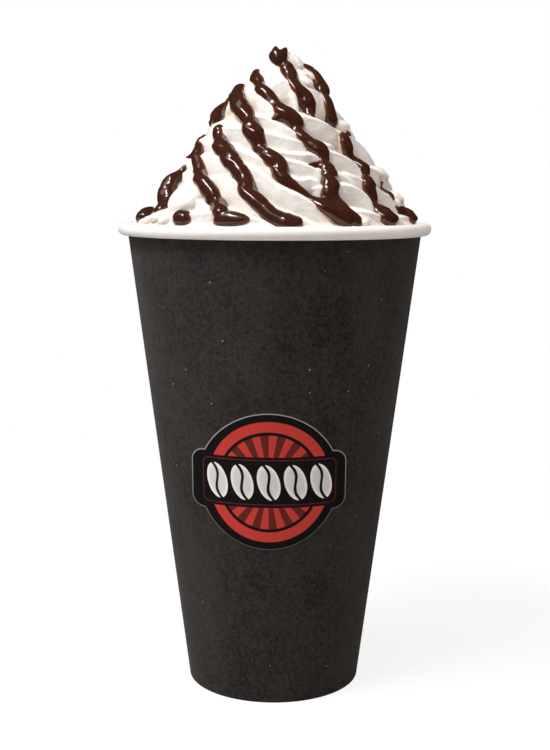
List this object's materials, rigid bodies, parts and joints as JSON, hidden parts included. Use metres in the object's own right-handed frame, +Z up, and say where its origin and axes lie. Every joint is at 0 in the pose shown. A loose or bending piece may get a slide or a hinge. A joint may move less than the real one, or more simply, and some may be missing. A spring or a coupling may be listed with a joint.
{
  "type": "caffe mocha",
  "caption": "Tall paper cup in a black paper wrap, filled with a coffee drink under a twisted mound of whipped cream with chocolate drizzle.",
  "frame": {"origin": "middle of the cup's foot, on the surface it stands on", "axes": "+Z up the cup's axis to the tip of the cream, -Y towards the label on the front, +X to the right as the label is seen"},
  "size_m": [0.09, 0.09, 0.1852],
  "materials": {
    "white_paper": "satin",
    "black_paper": "matte",
    "mocha_drink": "gloss",
    "cream": "satin",
    "label_print": "satin",
    "chocolate_sauce": "gloss"
  },
  "bodies": {
    "root": {"inner_cup": "white_paper", "outer_wrap": "black_paper", "base_disc": "white_paper", "mocha": "mocha_drink", "whipped_cream": "cream", "label": "label_print"}
  },
  "joints": []
}
